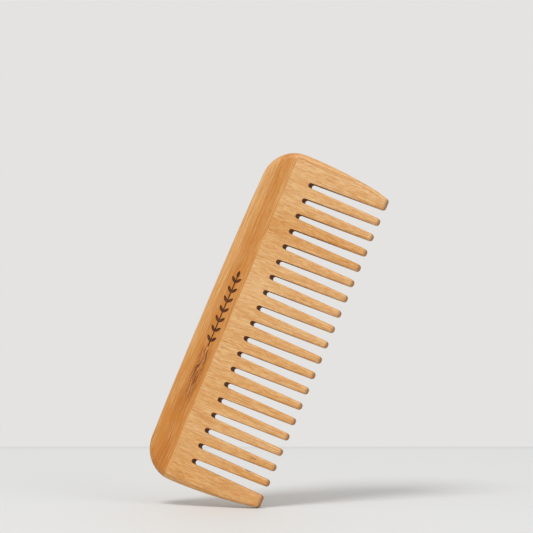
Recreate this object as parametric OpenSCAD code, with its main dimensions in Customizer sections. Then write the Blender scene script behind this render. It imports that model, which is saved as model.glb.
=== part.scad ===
// Wide tooth comb sawn from a glued bamboo panel, lying flat on its back face.
//
// +X runs along the spine, +Y from the tooth tips to the spine edge, +Z up through the thickness.
// The origin is the middle of the comb's footprint, on the surface that it lies on.
// Two long strips with the grain along X make the spine. Below them, narrow staves with the grain
// along Y make the teeth. Everything is glued edge to edge, and nothing moves.

/* [Comb] */
// Length along the spine
comb_l = 150; // [120:1:190]
// Width from the spine edge to the tooth tips
comb_w = 55.5; // [44:0.5:70]
// Thickness of the spine
comb_t = 8; // [6:0.5:12]
// Plan radius of the two spine corners
corner_r = 15; // [8:0.5:18]
// Radius of the long bow of each end, from its spine corner to the tooth tips
end_bow_r = 215; // [150:5:400]
// Round-over along the spine edge, the corners and the ends
edge_r = 2.5; // [1:0.1:2.9]

/* [Teeth] */
// Number of slots between the teeth
slot_count = 19; // [9:1:21]
// Width of the guard tooth at each end, level with the slot roots
guard_w = 10.4; // [8:0.1:16]
// Distance from the spine edge to the slot roots
root_depth = 21.4; // [16:0.1:26]
// Width of a slot at its round root
slot_w = 2; // [1.4:0.1:2.6]
// Angle at which each slot wall opens towards the tips
slot_flare = 1.6; // [0.5:0.1:2]
// Distance from the slot roots to where both faces start to taper
taper_drop = 6; // [2:0.5:12]
// Thickness at the tooth tips
tip_t = 5.3; // [4:0.1:6]
// Plan radius of the corners of each tooth tip
tip_corner_r = 1.3; // [0.4:0.1:1.5]
// Width of the 45 degree cut across the outer corner of each guard tooth
guard_cut = 0.8; // [0.4:0.1:2]
// Radius that rounds the tips through the thickness
tip_nose_r = 1.2; // [0.4:0.1:1.8]
// Depth of the eased tooth edges at the tips, fading to nothing at the roots
edge_ease = 0.9; // [0.3:0.1:1]

/* [Lamination] */
// Width of each of the two long spine strips
strip_w = 6.3; // [4:0.1:7.5]
// Width of a full stave
stave_w = 6.95; // [5:0.05:10]
// Distance from the middle of the comb to the next glue line towards +X
stave_shift = 3.3; // [0:0.1:4]
// Narrowest offcut of a stave that is left at either end
end_stave_min = 1.2; // [0.8:0.1:1.8]

/* [Ornament] */
// Length of the engraved sprig
sprig_l = 35; // [20:1:50]
// Distance from the spine edge to the sprig's stem
sprig_drop = 8.5; // [8:0.1:9.5]
// Distance of the sprig's middle from the middle of the comb
sprig_shift = 1; // [-10:0.5:10]
// Number of leaf pairs
leaf_pairs = 7; // [3:1:9]
// Length of a leaf
leaf_l = 3.4; // [2:0.1:3.6]
// Width of a leaf
leaf_w = 1.3; // [0.8:0.1:1.6]
// Angle between a leaf and the stem
leaf_angle = 38; // [25:1:50]
// Width of the stem
stem_w = 0.5; // [0.3:0.1:0.8]
// Depth of the engraving
sprig_depth = 0.25; // [0.1:0.05:0.5]

/* [Hidden] */
$fn = 64;
// How far a cutting shape reaches past the faces that it cuts
past = 1;
// How far the round of the tips stands proud of both sides, so that it meets them in clean edges
proud = 0.01;

spine_y = comb_w / 2;
tip_y = -comb_w / 2;
root_y = spine_y - root_depth;
taper_y = root_y - taper_drop;
lamina_y = spine_y - 2 * strip_w;
corner_x = comb_l / 2 - corner_r;
corner_y = spine_y - corner_r;

// The taper of the two faces, from taper_y down to the tips
face_drop = (comb_t - tip_t) / 2;
face_lean = atan(face_drop / (taper_y - tip_y));

// The slots: the outer two leave a guard tooth of guard_w, the rest are spread evenly between
slot_pitch = (comb_l - 2 * guard_w - slot_w) / (slot_count - 1);
slot_r = slot_w / 2;
slot_top_y = root_y - slot_r;
tooth_tip_w = slot_pitch - 2 * slot_half_w(tip_y);
plan_r = min(tip_corner_r, 0.45 * tooth_tip_w);

// The glue lines between staves, leaving no offcut thinner than end_stave_min
glue_x = [
    for (k = [-ceil(comb_l / stave_w) : ceil(comb_l / stave_w)])
    let (x = stave_shift + k * stave_w)
    if (abs(x) < comb_l / 2 - end_stave_min) x
];
stave_x = concat([-comb_l / 2 - past], glue_x, [comb_l / 2 + past]);
stave_count = len(glue_x) + 1;

SPINE_TONES = [[0.82, 0.62, 0.39], [0.76, 0.55, 0.33]];
STAVE_TONES = [[0.86, 0.69, 0.47], [0.83, 0.65, 0.42], [0.89, 0.73, 0.52], [0.81, 0.62, 0.40]];

function stave_name(i) = str(i < 10 ? "stave_0" : "stave_", i);
function slot_x(i) = (i - (slot_count - 1) / 2) * slot_pitch;
function slot_half_w(y) = slot_r + (slot_top_y - y) * tan(slot_flare);
function toward(angle) = [cos(angle), sin(angle)];

// What a round of radius r takes off an outer corner, drawn about the round's own centre.
// The angles are those of the outward normals of the corner's two sides.
module corner_waste(r, from, to) {
    reach = r + past / 2;
    difference() {
        polygon([
            [0, 0],
            reach * toward(from),
            reach / cos((to - from) / 2) * toward((from + to) / 2),
            reach * toward(to)
        ]);
        circle(r);
    }
}

// Cross-section of the plate out to a rounded edge at x1
module edge_section(x0, x1) {
    translate([x0, 0]) square([x1 - x0 - edge_r, comb_t]);
    translate([x0, edge_r]) square([x1 - x0, comb_t - 2 * edge_r]);
    for (z = [edge_r, comb_t - edge_r])
        translate([x1 - edge_r, z]) circle(edge_r);
}

// Runs a section drawn with Y to the right and Z up along X, from x0 to x1
module along_x(x0, x1) {
    translate([x0, 0, 0]) rotate([90, 0, 90]) linear_extrude(x1 - x0) children();
}

// One end of the flat plate: a quarter round at the spine corner, and below it the long bow
module plate_end() {
    bow_angle = asin((corner_y - tip_y + past) / end_bow_r);
    translate([corner_x, corner_y, 0])
        rotate_extrude(angle = 90) edge_section(0, corner_r);
    translate([comb_l / 2 - end_bow_r, corner_y, 0]) mirror([0, 1, 0])
        rotate_extrude(angle = bow_angle, $fn = 1440)
            edge_section(end_bow_r - 2 * corner_r, end_bow_r);
}

// The whole plate at full thickness, running on past the tooth tips
module plate() {
    along_x(-corner_x, corner_x) edge_section(tip_y - past, spine_y);
    for (side = [0, 1]) mirror([side, 0, 0]) plate_end();
}

// Thickness across the comb, Y to the right and Z up: the teeth taper, and their tips are rounded
module taper_section() {
    nose_y = tip_y + tip_nose_r - proud;
    nose_z = comb_t - (taper_y - nose_y) * tan(face_lean) - tip_nose_r / cos(face_lean) + proud;
    difference() {
        polygon([
            [spine_y + past, 0], [spine_y + past, comb_t], [taper_y, comb_t],
            [tip_y, comb_t - face_drop], [tip_y, face_drop], [taper_y, 0]
        ]);
        translate([nose_y, nose_z]) corner_waste(tip_nose_r, 90 + face_lean, 180);
        translate([nose_y, comb_t - nose_z]) corner_waste(tip_nose_r, 180, 270 - face_lean);
    }
}

// The 45 degree cut that takes the outer corner off the +X guard tooth
module guard_corner_waste() {
    corner_rise = sqrt(pow(end_bow_r, 2) - pow(corner_y - tip_y, 2));
    guard_x = comb_l / 2 - end_bow_r + corner_rise;
    translate([guard_x, tip_y, -past]) linear_extrude(comb_t + 2 * past)
        polygon([[-guard_cut - past, -past], [past, -past], [past, guard_cut + past]]);
}

// The comb's outer shape before the slots are sawn
module blank() {
    difference() {
        intersection() {
            plate();
            along_x(-comb_l / 2 - past, comb_l / 2 + past) taper_section();
        }
        for (side = [0, 1]) mirror([side, 0, 0]) guard_corner_waste();
    }
}

// The part of the blank between two values of x and two of y
module blank_piece(x0, x1, y0, y1) {
    intersection() {
        blank();
        translate([x0, y0, -past]) cube([x1 - x0, y1 - y0, comb_t + 2 * past]);
    }
}

// The edge of one slot wall, eased at 45 degrees: flush at the root, edge_ease deep at the tip
module wall_ease() {
    run = slot_top_y - tip_y;
    fall = atan((face_drop + edge_ease) / run);
    translate([slot_r, slot_top_y, comb_t / 2])
        rotate([0, 0, slot_flare]) rotate([fall, 0, 0]) rotate([0, -45, 0])
            translate([-past / 20, -run - 2 * past, 0]) cube([3 * past, run + 2 * past, past]);
}

// All that is cut away for one slot, centred on X = 0
module slot() {
    end_y = tip_y - past;
    end_half_w = slot_half_w(end_y);
    translate([0, 0, -past]) linear_extrude(comb_t + 2 * past) {
        translate([0, slot_top_y]) circle(slot_r);
        polygon([
            [-slot_r, slot_top_y], [slot_r, slot_top_y],
            [end_half_w, end_y], [-end_half_w, end_y]
        ]);
        for (side = [0, 1]) mirror([side, 0])
            translate([slot_half_w(tip_y + plan_r) + plan_r / cos(slot_flare), tip_y + plan_r])
                corner_waste(plan_r, 180 + slot_flare, 270);
    }
    translate([0, 0, comb_t / 2])
        for (side = [0, 1], face = [0, 1])
            mirror([side, 0, 0]) mirror([0, 0, face]) wall_ease();
}

// A pointed leaf that starts at the origin and lies along +X
module leaf() {
    arc_r = (pow(leaf_l, 2) + pow(leaf_w, 2)) / (4 * leaf_w);
    intersection() {
        translate([leaf_l / 2, leaf_w / 2 - arc_r]) circle(arc_r);
        translate([leaf_l / 2, arc_r - leaf_w / 2]) circle(arc_r);
    }
}

// The engraved sprig: a stem along +X, leaves in pairs and one leaf at its end
module sprig() {
    stem_l = sprig_l - leaf_l;
    translate([sprig_shift - sprig_l / 2, spine_y - sprig_drop, comb_t - sprig_depth])
        linear_extrude(sprig_depth + past) {
            translate([0, -stem_w / 2]) square([stem_l + stem_w, stem_w]);
            translate([stem_l, 0]) leaf();
            for (k = [1 : leaf_pairs], side = [-1, 1])
                translate([stem_l * (k - 0.5) / leaf_pairs, 0]) rotate(side * leaf_angle) leaf();
        }
}

module spine_outer_strip() {
    color(SPINE_TONES[0])
        blank_piece(-comb_l / 2 - past, comb_l / 2 + past, spine_y - strip_w, spine_y + past);
}

module spine_inner_strip() {
    color(SPINE_TONES[1]) difference() {
        blank_piece(-comb_l / 2 - past, comb_l / 2 + past, lamina_y, spine_y - strip_w);
        sprig();
    }
}

module stave(i) {
    x0 = stave_x[i - 1];
    x1 = stave_x[i];
    color(STAVE_TONES[(i * i) % len(STAVE_TONES)]) difference() {
        blank_piece(x0, x1, tip_y - past, lamina_y);
        for (k = [0 : slot_count - 1])
            if (slot_x(k) + slot_pitch / 2 > x0 && slot_x(k) - slot_pitch / 2 < x1)
                translate([slot_x(k), 0, 0]) slot();
    }
}

spine_outer_strip();
spine_inner_strip();
for (i = [1 : stave_count])
    stave(i);
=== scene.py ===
import math

import bmesh
import bpy
from mathutils import Matrix, Vector


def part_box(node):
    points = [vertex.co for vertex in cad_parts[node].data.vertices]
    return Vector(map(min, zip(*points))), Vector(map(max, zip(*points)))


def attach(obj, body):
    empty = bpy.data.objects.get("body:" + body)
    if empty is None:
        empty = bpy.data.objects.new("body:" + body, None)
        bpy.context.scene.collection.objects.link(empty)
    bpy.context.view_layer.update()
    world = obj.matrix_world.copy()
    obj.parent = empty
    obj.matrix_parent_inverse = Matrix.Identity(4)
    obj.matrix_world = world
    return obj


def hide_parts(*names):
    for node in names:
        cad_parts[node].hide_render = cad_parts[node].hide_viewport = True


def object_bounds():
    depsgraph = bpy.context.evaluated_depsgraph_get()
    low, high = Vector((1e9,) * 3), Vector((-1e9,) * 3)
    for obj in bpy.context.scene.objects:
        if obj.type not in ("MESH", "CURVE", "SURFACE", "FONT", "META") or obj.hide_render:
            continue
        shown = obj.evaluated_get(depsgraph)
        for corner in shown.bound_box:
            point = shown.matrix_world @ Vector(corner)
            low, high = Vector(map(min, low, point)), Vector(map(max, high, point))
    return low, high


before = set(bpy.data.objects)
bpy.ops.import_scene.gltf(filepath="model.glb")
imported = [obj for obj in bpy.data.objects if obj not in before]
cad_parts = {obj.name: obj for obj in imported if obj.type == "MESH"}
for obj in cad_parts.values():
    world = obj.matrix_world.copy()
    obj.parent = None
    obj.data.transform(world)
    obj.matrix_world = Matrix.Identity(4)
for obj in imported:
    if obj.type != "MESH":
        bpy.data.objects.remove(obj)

# ---- The frame --------------------------------------------------------------------------
# The comb lies flat: +X along the spine, +Y from the tooth tips to the spine, +Z up out of
# the engraved face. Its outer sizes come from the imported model.
MM = 0.001
cad_low, cad_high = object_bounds()

# ---- The camera -------------------------------------------------------------------------
# A long lens, square to the spine and a little below the face, so that the ends of the teeth
# show. It is rolled so that the comb stands on the corner of its guard tooth.
below = math.radians(14.2)
aside = math.radians(2)
roll = math.radians(22.95)
camera_far = 2.2
lens = 349.2
aim_along = 24.6 * MM
aim_up = 9.95 * MM
middle = (cad_low + cad_high) / 2
toward_camera = Vector((-math.sin(aside), -math.sin(below) * math.cos(aside),
                        math.cos(below) * math.cos(aside)))
along_spine = Vector((0, math.cos(below), math.sin(below))).cross(toward_camera).normalized()
toward_tips = along_spine.cross(toward_camera).normalized()
view_right = along_spine * math.sin(roll) + toward_tips * math.cos(roll)
view_up = along_spine * math.cos(roll) - toward_tips * math.sin(roll)
aim = middle + along_spine * aim_along - toward_tips * aim_up

camera_data = bpy.data.cameras.new("studio_camera")
camera_data.lens = lens
camera_data.clip_end = 20
camera = bpy.data.objects.new("studio_camera", camera_data)
bpy.context.scene.collection.objects.link(camera)
turn = Matrix((view_right, view_up, toward_camera)).transposed().to_4x4()
camera.matrix_world = Matrix.Translation(aim + toward_camera * camera_far) @ turn
bpy.context.scene.camera = camera
bpy.context.scene.view_settings.view_transform = "Standard"

# ---- The blank --------------------------------------------------------------------------
# The glued panel after it has been sawn and sanded, before it is thought of as strips: one
# plate with 19 slots, faces that taper towards the tips, and every edge rounded by hand.
comb_l, _, comb_t = cad_high - cad_low
tip_y, spine_y = cad_low.y, cad_high.y
slot_count = 19
guard_w = 10.4 * MM
slot_w = 2 * MM
slot_flare = math.radians(1.6)
root_depth = 21.4 * MM
corner_r = 15 * MM
bow_r = 215 * MM
crown = 0.6 * MM
taper_drop = 6 * MM
taper_blend = 14 * MM
tip_t = 5.3 * MM
round_steps = 6
spine_round = 2.8 * MM
spine_round_from = 8 * MM
tip_round = 1.15 * MM
slot_round = 0.22 * MM
slot_round_over = 24 * MM
tooth_corner_r = 1.35 * MM
guard_corner_r = {"left": 1.2 * MM, "right": 1.3 * MM}
guard_narrower = 0.5 * MM
tip_band = 0.6 * MM

root_y = spine_y - root_depth
slot_pitch = (comb_l - 2 * guard_w - slot_w) / (slot_count - 1)
slot_at = [(i - (slot_count - 1) / 2) * slot_pitch for i in range(slot_count)]
slot_half_tip = slot_w / 2 + (root_y - tip_y) * math.tan(slot_flare)
slots_end = comb_l / 2 - guard_w + 4 * MM


def end_x(y):
    """Half the comb's length at a height in plan, along the long bow of its ends."""
    return comb_l / 2 - bow_r + math.sqrt(bow_r ** 2 - (spine_y - corner_r - y) ** 2)


def half_thickness(y):
    """Half the thickness across the comb: flat, then a blend into the straight taper."""
    slope = (comb_t - tip_t) / 2 / (root_y - taper_drop - tip_y)
    down = root_y - taper_drop + taper_blend / 2 - y
    if down <= 0:
        return comb_t / 2
    if down < taper_blend:
        return comb_t / 2 - slope * down ** 2 / (2 * taper_blend)
    return comb_t / 2 - slope * (down - taper_blend / 2)


def ease(t):
    """0 to 1 with a soft start and a soft end."""
    t = min(max(t, 0), 1)
    return t * t * (3 - 2 * t)


def edge_round(y, in_slot):
    """Radius of the rounded edge: broad along the spine, crisp at the slot roots."""
    if in_slot:
        return slot_round + (tip_round - slot_round) * ease((root_y - y) / slot_round_over)
    up = (y - tip_y) / (spine_y - spine_round_from - tip_y)
    return tip_round + (spine_round - tip_round) * ease(up)


def outline_corners():
    """The sharp corners of the plan, anticlockwise, each with the radius that rounds it."""
    spine_x = comb_l / 2 - 1.05 * corner_r
    bow_y = [spine_y - corner_r + (tip_y + 6 * MM - spine_y + corner_r) * i / 6 for i in range(7)]
    spine_corner_r = 0.985 * corner_r
    root_r = 0.999 * slot_w / 2
    yield comb_l / 2, spine_y - crown, spine_corner_r
    for i in range(9):
        x = spine_x * (1 - i / 4)
        yield x, spine_y - crown * abs(x / spine_x) ** 3, 0
    yield -comb_l / 2, spine_y - crown, spine_corner_r
    for y in bow_y:
        yield -end_x(y), y, 0
    yield -end_x(tip_y), tip_y, guard_corner_r["left"]
    for x in slot_at:
        yield x - slot_half_tip, tip_y, tooth_corner_r
        yield x - slot_w / 2, root_y, root_r
        yield x + slot_w / 2, root_y, root_r
        yield x + slot_half_tip, tip_y, tooth_corner_r
    yield end_x(tip_y) - guard_narrower, tip_y, guard_corner_r["right"]
    for y in reversed(bow_y):
        yield end_x(y), y, 0


def rounded_blank():
    """The sawn and sanded plate, with a point attribute for how much saw scorch and painted shade
    darken each point.
    """
    bm = bmesh.new()
    scorch_and_shade = bm.verts.layers.float.new("scorch_and_shade")
    radius_of = {}
    for x, y, radius in outline_corners():
        radius_of[bm.verts.new((x, y, 0))] = radius
    face = bm.faces.new(list(radius_of))
    for radius in sorted(set(radius_of.values()) - {0}):
        corners = [v for v in radius_of if radius_of[v] == radius]
        for v in corners:
            del radius_of[v]
        bmesh.ops.bevel(bm, geom=corners, offset=radius, offset_type="OFFSET", affect="VERTICES",
                        segments=14 if radius > 5 * MM else 6, profile=0.5, material=-1)
    bmesh.ops.remove_doubles(bm, verts=bm.verts, dist=0.02 * MM)
    face, = bm.faces

    hair = 0.01 * MM
    places = [v.co.copy() for v in face.verts]
    radii = [edge_round(v.co.y, v.co.y < root_y + 0.1 * MM and abs(v.co.x) < slots_end)
             for v in face.verts]
    for step in range(1, round_steps + 1):
        bmesh.ops.inset_region(bm, faces=[face], thickness=hair, use_boundary=True,
                               use_even_offset=True)
        if step == 1:
            inner = set(face.verts)
            rim = [next(e.other_vert(v) for e in v.link_edges if e.other_vert(v) not in inner)
                   for v in face.verts]
            inward = [(v.co - corner.co) / hair for v, corner in zip(face.verts, rim)]
            for corner, radius in zip(rim, radii):
                corner.co.z = -radius
                # Saw scorch and painted shade: strongest on the slot walls near their roots, fading
                # towards the tips, and 0.6 along the tip rim.
                in_slot = radius < 1.2 * MM and corner.co.y > tip_y + tip_band
                if in_slot and abs(corner.co.x) < slots_end:
                    near_root = ease((corner.co.y - root_y + 9 * MM) / (8 * MM))
                    corner[scorch_and_shade] = 0.3 + 0.7 * near_root
                else:
                    corner[scorch_and_shade] = 0.6 * (corner.co.y < tip_y + tip_band)
        bend = math.radians(90) * step / round_steps
        for v, place, way, radius in zip(face.verts, places, inward, radii):
            v.co = place + way * radius * (1 - math.cos(bend))
            v.co.z = -radius * (1 - math.sin(bend))

    planes = [taper_blend * i / 9 for i in range(10)]
    planes += [taper_blend + 5 * MM * i for i in (1, 2, 3)]
    for down in planes:
        bmesh.ops.bisect_plane(bm, geom=bm.verts[:] + bm.edges[:] + bm.faces[:], dist=1e-7,
                               plane_co=(0, root_y - taper_drop + taper_blend / 2 - down, 0),
                               plane_no=(0, 1, 0))
    for v in bm.verts:
        v.co.z += half_thickness(v.co.y)

    rim = [e for e in bm.edges if e.is_boundary]
    front = bm.verts[:] + bm.edges[:] + bm.faces[:]
    back = bmesh.ops.duplicate(bm, geom=front)["geom"]
    bmesh.ops.scale(bm, vec=(1, 1, -1),
                    verts=[g for g in back if isinstance(g, bmesh.types.BMVert)])
    wall = bmesh.ops.extrude_edge_only(bm, edges=rim)["geom"]
    for v in [g for g in wall if isinstance(g, bmesh.types.BMVert)]:
        v.co.z = -v.co.z
    bmesh.ops.remove_doubles(bm, verts=bm.verts, dist=1e-6)
    bmesh.ops.translate(bm, vec=(0, 0, middle.z), verts=bm.verts)
    bmesh.ops.recalc_face_normals(bm, faces=bm.faces)
    for face in bm.faces:
        face.smooth = True
    return bm


blank = rounded_blank()

# ---- Spine strips -----------------------------------------------------------------------
# Two long strips of split culm wall, planed square, glued edge to edge with the grain along
# the spine, oiled and buffed. The inner one is darker and carries a culm node.
lamina_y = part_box("spine_inner_strip")[0].y
seam_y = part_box("spine_outer_strip")[0].y
reach = comb_l
nowhere = 999
dense_fibre_y = 20.3
culm_knot_x = -27


def as_object(bm, name):
    mesh = bpy.data.meshes.new(name)
    bm.to_mesh(mesh)
    bm.free()
    made = bpy.data.objects.new(name, mesh)
    bpy.context.scene.collection.objects.link(made)
    return made


def cut_piece(name, x_from, x_to, y_from, y_to):
    """One glued piece: the blank between its joint lines, with flat faces where it is glued."""
    bm = blank.copy()
    for place, outwards in (((x_from, 0, 0), (-1, 0, 0)), ((x_to, 0, 0), (1, 0, 0)),
                            ((0, y_from, 0), (0, -1, 0)), ((0, y_to, 0), (0, 1, 0))):
        if any(Vector(place).dot(outwards) < v.co.dot(outwards) - 1e-6 for v in bm.verts):
            bmesh.ops.bisect_plane(bm, geom=bm.verts[:] + bm.edges[:] + bm.faces[:], dist=1e-7,
                                   plane_co=place, plane_no=outwards, clear_outer=True)
            rim = [e for e in bm.edges if e.is_boundary]
            bmesh.ops.holes_fill(bm, edges=rim, sides=0)
            for e in rim:
                e.smooth = False
    piece = as_object(bm, name)
    piece.modifiers.new("even_normals", "WEIGHTED_NORMAL").keep_sharp = True
    return piece


def say(piece, **facts):
    """Writes what the finish needs to know about a piece into its mesh, as plain attributes."""
    for name, value in facts.items():
        data = piece.data.attributes.new(name, "FLOAT", "POINT").data
        low, high = value if isinstance(value, tuple) else (value, value)
        for point, v in zip(data, piece.data.vertices):
            point.value = low + (high - low) * (0.5 + v.co.x / comb_l)


class Signal:
    """A socket of a material, so that its arithmetic reads as plain expressions."""

    def __init__(self, finish, socket):
        self.finish = finish
        self.socket = socket

    def maths(self, operation, *values):
        return self.finish.node("ShaderNodeMath", {"operation": operation}, dict(enumerate(values)))

    def __add__(self, other):
        return self.maths("ADD", self, other)

    def __sub__(self, other):
        return self.maths("SUBTRACT", self, other)

    def __rsub__(self, other):
        return self.maths("SUBTRACT", other, self)

    def __mul__(self, other):
        return self.maths("MULTIPLY", self, other)

    def __truediv__(self, other):
        return self.maths("DIVIDE", self, other)

    def __abs__(self):
        return self.maths("ABSOLUTE", self)

    __radd__ = __add__
    __rmul__ = __mul__


class Finish:
    """The nodes of a material, or of the air round the comb, under construction."""

    def __init__(self, owner):
        owner.use_nodes = True
        self.owner = owner
        self.tree = owner.node_tree
        self.tree.nodes.clear()

    def node(self, kind, settings, inputs, out=0):
        made = self.tree.nodes.new(kind)
        for key, value in settings.items():
            setattr(made, key, value)
        for key, value in inputs.items():
            if isinstance(value, Signal):
                self.tree.links.new(value.socket, made.inputs[key])
            else:
                made.inputs[key].default_value = value
        return Signal(self, made.outputs[out]) if made.outputs else None

    def vector(self, x, y, z):
        return self.node("ShaderNodeCombineXYZ", {}, {0: x, 1: y, 2: z})

    def noise(self, place, detail=2, roughness=0.5):
        return self.node("ShaderNodeTexNoise", {},
                         {"Vector": place, "Scale": 1, "Detail": detail, "Roughness": roughness})

    def band(self, value, start, end):
        """0 below start, 1 above end, smooth between."""
        return self.node("ShaderNodeMapRange", {"interpolation_type": "SMOOTHSTEP"},
                         {0: value, 1: start, 2: end, 3: 0, 4: 1})

    def blend(self, amount, first, second):
        return self.node("ShaderNodeMix", {"data_type": "RGBA"},
                         {0: amount, 6: first, 7: second}, 2)

    def fact(self, name):
        return self.node("ShaderNodeAttribute", {"attribute_name": name}, {}, "Fac")


def srgb(red, green, blue):
    """A colour given as on a swatch, 0 to 255, as the light values that shaders use."""
    return (*[((c / 255 + 0.055) / 1.055) ** 2.4 for c in (red, green, blue)], 1)


PALE = srgb(227, 187, 134)
STRAW = srgb(213, 156, 85)
AMBER = srgb(188, 112, 30)
UMBER = srgb(122, 60, 14)
# Brown of the saw scorch and painted shade on the slot walls and tips.
SCORCH_AND_SHADE = srgb(150, 96, 58)


def bamboo(name, grain, dense_at=None):
    """Straw yellow with amber fibre streaks along x or y of the comb, a darker line of glue
    along each joint, darker tips and slot walls from end grain, saw scorch and painted shade,
    and a satin sheen. Its lengths are in millimetres."""
    f = Finish(bpy.data.materials.new(name))
    place = f.node("ShaderNodeTexCoord", {}, {}, "Object")
    place = f.node("ShaderNodeVectorMath", {"operation": "SCALE"}, {0: place, "Scale": 1 / MM})
    x, y, z = [f.node("ShaderNodeSeparateXYZ", {}, {0: place}, axis) for axis in "XYZ"]
    along, across = (x, y) if grain == "x" else (y, x)
    tone, seed, knot, scorch_and_shade = [f.fact(fact) for fact in ("tone", "seed", "knot", "scorch_and_shade")]
    edge = f.node("ShaderNodeMath", {"operation": "MINIMUM"},
                  {0: across - f.fact("joint_low"), 1: f.fact("joint_high") - across})

    if dense_at:
        dense = 1 - f.band(abs(across - dense_at), 0.8, 7)
        at_knot = f.band(along - knot, -24, -2) * (1 - f.band(along - knot, 7, 11))
        at_knot = at_knot * (1 - f.band(abs(across - dense_at + 0.8), 1.4, 3.4))
        tone = tone + dense * 0.8 + at_knot * 0.6
        wander, stretch, fine = 0.4, 0.35, 1.5
    else:
        at_knot = 0.6 - f.band(abs(along - knot), 0.8, 2) * 0.6
        wander, stretch, fine = 0.8, 1.3, 1.7
    sway = f.noise(f.vector(along * 0.03, across * 0.08 + seed, z * 0.1), 1) - 0.5
    wave = f.noise(f.vector(along * 0.16, across * 0.3 + seed, z * 0.3), 2) - 0.5
    swirl = f.noise(f.vector(along * 0.24, across * 0.4 + seed, z * 0.4), 2) - 0.5
    lane = across + sway * 2 + wave * wander + swirl * at_knot * 2
    run = along * stretch
    shade = f.noise(f.vector(run * 0.02, lane * 0.3 + seed, z * 0.3 + seed), 2)
    patch = f.noise(f.vector(run * 0.1, across * 0.16, z * 0.2 + seed * 2), 2)
    streak = f.noise(f.vector(run * 0.13 + seed, lane * fine, z * fine), 3, 0.62)
    fibre = f.noise(f.vector(run * 0.3, lane * 3.6 + seed, z * 3.6), 2, 0.6)
    dash = f.band(f.noise(f.vector(run * 0.1, lane * 1.7, z * 1.7 + seed), 2, 0.6), 0.54, 0.68)
    pore = f.band(f.noise(f.vector(along * 0.5, lane * 3.6, z * 3.6 + seed), 1), 0.62, 0.74)
    scar = f.band(f.noise(f.vector(along * 0.13, lane * 1.9 + seed, z * 1.9), 3, 0.8), 0.42, 0.62)

    colour = f.blend(f.band(shade, 0.3, 0.7) * 0.4 + tone * 0.6, PALE, STRAW)
    colour = f.blend(f.band(tone, 0.4, 2.2) * 0.85, colour, AMBER)
    colour = f.blend(f.band(streak, 0.4, 0.64) * (0.12 + patch * 0.6), colour, AMBER)
    colour = f.blend(f.band(fibre, 0.36, 0.66) * 0.34, colour, AMBER)
    colour = f.blend(f.band(fibre, 0.56, 0.34) * f.band(streak, 0.6, 0.4) * 0.4, colour, PALE)
    colour = f.blend(pore * 0.32, colour, UMBER)
    colour = f.blend(dash * (0.04 + tone * 0.2), colour, UMBER)
    colour = f.blend(scar * at_knot, colour, UMBER)
    glue = (1 - f.band(edge, 0.02, 0.2)) * f.fact("glue")
    colour = f.blend(glue * (0.4 + patch), colour, UMBER)
    # Painted shade and end grain: the last 0.8 mm of each tooth tip is darkened towards umber.
    end_grain_and_shade = 1 - f.band(y - tip_y / MM, 0, 0.8)
    colour = f.blend(end_grain_and_shade * 0.35, colour, UMBER)
    # Saw scorch and painted shade: slot walls and tip rims blended towards brown, most near the
    # slot roots.
    colour = f.blend(scorch_and_shade * (0.7 + streak * 0.5), colour, SCORCH_AND_SHADE)

    grooves = f.node("ShaderNodeBump", {}, {"Strength": 0.35, "Distance": 0.03 * MM,
                                             "Height": fibre * 0.6 + streak * 0.6})
    shine = 0.5 + (streak - 0.5) * 0.25 + scorch_and_shade * 0.4
    skin = f.node("ShaderNodeBsdfPrincipled", {}, {
        "Base Color": colour, "Roughness": shine, "Normal": grooves, "Specular IOR Level": 0.3,
        "Coat Weight": 0.12 - scorch_and_shade * 0.12, "Coat Roughness": 0.35})
    f.node("ShaderNodeOutputMaterial", {}, {"Surface": skin})
    return f.owner


def finish_piece(piece, node, slot, **facts):
    say(piece, **facts)
    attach(piece, "root")
    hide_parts(node)


spine_bamboo = bamboo("spine_bamboo", "x", dense_at=dense_fibre_y)
outer_strip = cut_piece("outer_strip", -reach, reach, seam_y, reach)
outer_strip.data.materials.append(spine_bamboo)
finish_piece(outer_strip, "spine_outer_strip", "outer_strip_bamboo",
             tone=(1.2, 0), seed=3.1, glue=0.05, knot=nowhere,
             joint_low=seam_y / MM, joint_high=nowhere)
inner_strip = cut_piece("inner_strip", -reach, reach, lamina_y, seam_y)
inner_strip.data.materials.append(spine_bamboo)

# ---- Engraving --------------------------------------------------------------------------
# A sprig of seven leaf pairs, burned a quarter of a millimetre into the inner strip by a
# laser. Its floor and walls are charred brown.
sprig_l = 35 * MM
sprig_x = 1 * MM - sprig_l / 2
sprig_y = spine_y - 8.5 * MM
leaf_pairs = 7
leaf_l = 3.4 * MM
leaf_w = 1.3 * MM
leaf_angle = math.radians(38)
stem_w = 0.5 * MM
sprig_depth = 0.25 * MM
stem_l = sprig_l - leaf_l

burn_finish = Finish(bpy.data.materials.new("engraved_line"))
place = burn_finish.node("ShaderNodeTexCoord", {}, {}, "Object")
place = burn_finish.node("ShaderNodeVectorMath", {"operation": "SCALE"},
                         {0: place, "Scale": 1 / MM})
soot = burn_finish.noise(place, 3, 0.6)
char = burn_finish.blend(burn_finish.band(soot, 0.3, 0.7), srgb(70, 34, 18), srgb(112, 62, 32))
skin = burn_finish.node("ShaderNodeBsdfPrincipled", {}, {
    "Base Color": char, "Roughness": 0.6 + soot * 0.25, "Specular IOR Level": 0.2})
burn_finish.node("ShaderNodeOutputMaterial", {}, {"Surface": skin})

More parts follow.
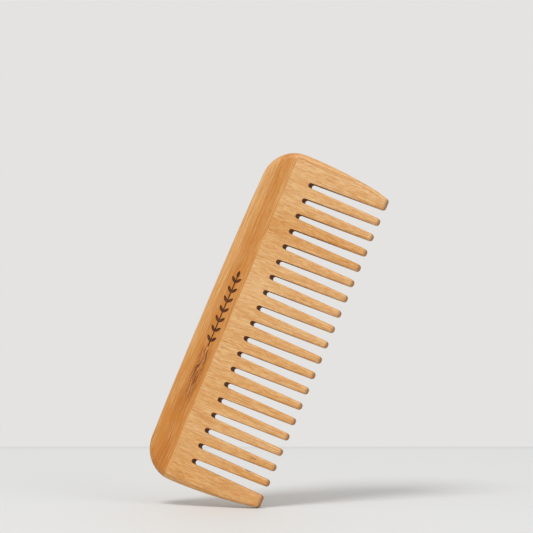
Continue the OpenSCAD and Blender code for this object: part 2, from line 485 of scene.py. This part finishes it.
bm = bmesh.new()
leaf_arc = (leaf_l ** 2 + leaf_w ** 2) / (4 * leaf_w)
leaf_turn = 2 * math.asin(leaf_l / 2 / leaf_arc)
leaves = [(stem_l, 0)]
leaves += [(stem_l * (k + 0.5) / leaf_pairs, side * leaf_angle)
           for k in range(leaf_pairs) for side in (-1, 1)]
for x, angle in leaves:
    outline = []
    for start, side in ((0, -1), (leaf_l, 1)):
        centre = (leaf_l / 2, side * (leaf_w / 2 - leaf_arc), 0)
        arc = [bm.verts.new((start, 0, 0))]
        for _ in range(8):
            arc.append(bm.verts.new(arc[-1].co))
            bmesh.ops.rotate(bm, verts=arc[-1:], cent=centre,
                             matrix=Matrix.Rotation(leaf_turn / 8, 3, "Z"))
        bm.verts.remove(arc.pop())
        outline += arc
    bm.faces.new(outline)
    turn = Matrix.Translation((x, 0, 0)) @ Matrix.Rotation(angle, 4, "Z")
    bmesh.ops.transform(bm, matrix=turn, verts=outline)
stem = bmesh.ops.create_grid(bm, x_segments=1, y_segments=1, size=0.5)["verts"]
bmesh.ops.scale(bm, vec=(stem_l + stem_w, stem_w, 1), verts=stem)
bmesh.ops.translate(bm, vec=((stem_l + stem_w) / 2, 0, 0), verts=stem)
tops = bmesh.ops.extrude_face_region(bm, geom=bm.faces[:], use_keep_orig=True)["geom"]
bmesh.ops.translate(bm, vec=(0, 0, 1 * MM),
                    verts=[g for g in tops if isinstance(g, bmesh.types.BMVert)])
bmesh.ops.translate(bm, vec=(sprig_x, sprig_y, cad_high.z - sprig_depth), verts=bm.verts)
bmesh.ops.recalc_face_normals(bm, faces=bm.faces)
cutter = as_object(bm, "sprig_cutter")
cutter.data.materials.append(burn_finish.owner)

engrave = inner_strip.modifiers.new("engrave", "BOOLEAN")
engrave.operation, engrave.solver, engrave.use_self = "DIFFERENCE", "EXACT", True
engrave.object, engrave.material_mode = cutter, "TRANSFER"
inner_strip.modifiers.move(1, 0)
bpy.context.view_layer.update()
engraved = bpy.data.meshes.new_from_object(
    inner_strip.evaluated_get(bpy.context.evaluated_depsgraph_get()))
inner_strip.modifiers.remove(engrave)
inner_strip.data = engraved
bpy.data.objects.remove(cutter)
finish_piece(inner_strip, "spine_inner_strip", "inner_strip_bamboo",
             tone=(1.3, 0.6), seed=8.7, glue=0.05, knot=culm_knot_x,
             joint_low=lamina_y / MM, joint_high=seam_y / MM)

# ---- Staves -----------------------------------------------------------------------------
# Short cross strips with the grain along the teeth. Each comes from another culm, so each has
# its own tone, and one of them has a small node near the tip of a tooth.
tooth_knot_y = -17.9
stave_names = sorted(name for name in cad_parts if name.startswith("stave"))
stave_bamboo = bamboo("stave_bamboo", "y")
stave_edges = [-reach] + [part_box(name)[0].x for name in stave_names[1:]] + [reach]
TONES = (0.6, 0.7, 0.7, 0.45, 0.3, 0.3, 0.45, 0.5, 0.2, 0.3, 0.4, 0.25, 0.05, 0, 0.05, 0.25, 0.45,
         0.9, 0.6, 0, 0.05, 0, 0.1)
for number, name in enumerate(stave_names, 1):
    low, high = stave_edges[number - 1:number + 1]
    stave = cut_piece(name.replace("stave", "cross_stave"), low, high, -reach, lamina_y)
    stave.data.materials.append(stave_bamboo)
    finish_piece(stave, name, "stave_bamboo",
                 tone=TONES[number - 1], seed=number * 5.3,
                 knot=tooth_knot_y if number == 4 else nowhere,
                 glue=0.4 if number in (1, 2, 22, 23) else 0.12,
                 joint_low=low / MM, joint_high=high / MM)
blank.free()

# ---- The table and the light ------------------------------------------------------------
# A pale table top that ends behind the comb, with a painted shadow along its back edge, a
# plain grey backdrop, one soft key light from the upper left and a weak fill.
camera_height = math.radians(3.5)
table_up = view_up * math.cos(camera_height) + toward_camera * math.sin(camera_height)
table_front = toward_camera * math.cos(camera_height) - view_up * math.sin(camera_height)
foot = min((v.co for o in (bpy.data.objects["cross_stave_01"], bpy.data.objects["cross_stave_02"])
            for v in o.data.vertices), key=table_up.dot)

table_behind = 0.27
softbox_far = 3
bm = bmesh.new()
bmesh.ops.create_grid(bm, x_segments=1, y_segments=1, size=0.5)
bmesh.ops.scale(bm, vec=(6, 1, 1), verts=bm.verts)
bmesh.ops.translate(bm, vec=(0, -0.5 + table_behind, 0), verts=bm.verts)
turn = Matrix((view_right, -table_front, table_up)).transposed().to_4x4()
table = as_object(bm, "table")
table.matrix_world = Matrix.Translation(foot) @ turn
table_paint = Finish(bpy.data.materials.new("table_paint"))
place = table_paint.node("ShaderNodeTexCoord", {}, {}, "Object")
depth = table_paint.node("ShaderNodeSeparateXYZ", {}, {0: place}, "Y")
# Painted shadow: the table darkens over the last 20 mm before its back edge.
paint_and_back_shadow = table_paint.blend(table_paint.band(depth, table_behind - 0.02, table_behind),
                          srgb(218, 218, 216), srgb(210, 209, 207))
top = table_paint.node("ShaderNodeBsdfPrincipled", {}, {"Base Color": paint_and_back_shadow, "Roughness": 0.6})
clear = table_paint.node("ShaderNodeBsdfTransparent", {}, {})
under = table_paint.node("ShaderNodeNewGeometry", {}, {}, "Backfacing")
surface = table_paint.node("ShaderNodeMixShader", {}, {0: under, 1: top, 2: clear})
table_paint.node("ShaderNodeOutputMaterial", {}, {"Surface": surface})
table.data.materials.append(table_paint.owner)


def softbox(name, toward, size, power):
    data = bpy.data.lights.new(name, "AREA")
    data.shape, data.size, data.energy = "DISK", size, power
    light = bpy.data.objects.new(name, data)
    bpy.context.scene.collection.objects.link(light)
    light.matrix_world = Matrix.Translation(middle + toward.normalized() * softbox_far) @ \
        toward.to_track_quat("Z", "Y").to_matrix().to_4x4()


softbox("key", view_right * -0.26 + table_front * 0.42 + table_up * 0.87, 1.1, 47)
softbox("fill", view_right * 0.8 + table_front * 0.7 + table_up * 0.5, 2, 14)

world = bpy.data.worlds.new("studio")
bpy.context.scene.world = world
air = Finish(world)
seen = air.node("ShaderNodeBackground", {}, {"Color": srgb(228, 227, 225)})
glow = air.node("ShaderNodeBackground", {}, {"Color": srgb(240, 240, 240), "Strength": 0.74})
camera_ray = air.node("ShaderNodeLightPath", {}, {}, "Is Camera Ray")
either = air.node("ShaderNodeMixShader", {}, {0: camera_ray, 1: glow, 2: seen})
air.node("ShaderNodeOutputWorld", {}, {"Surface": either})
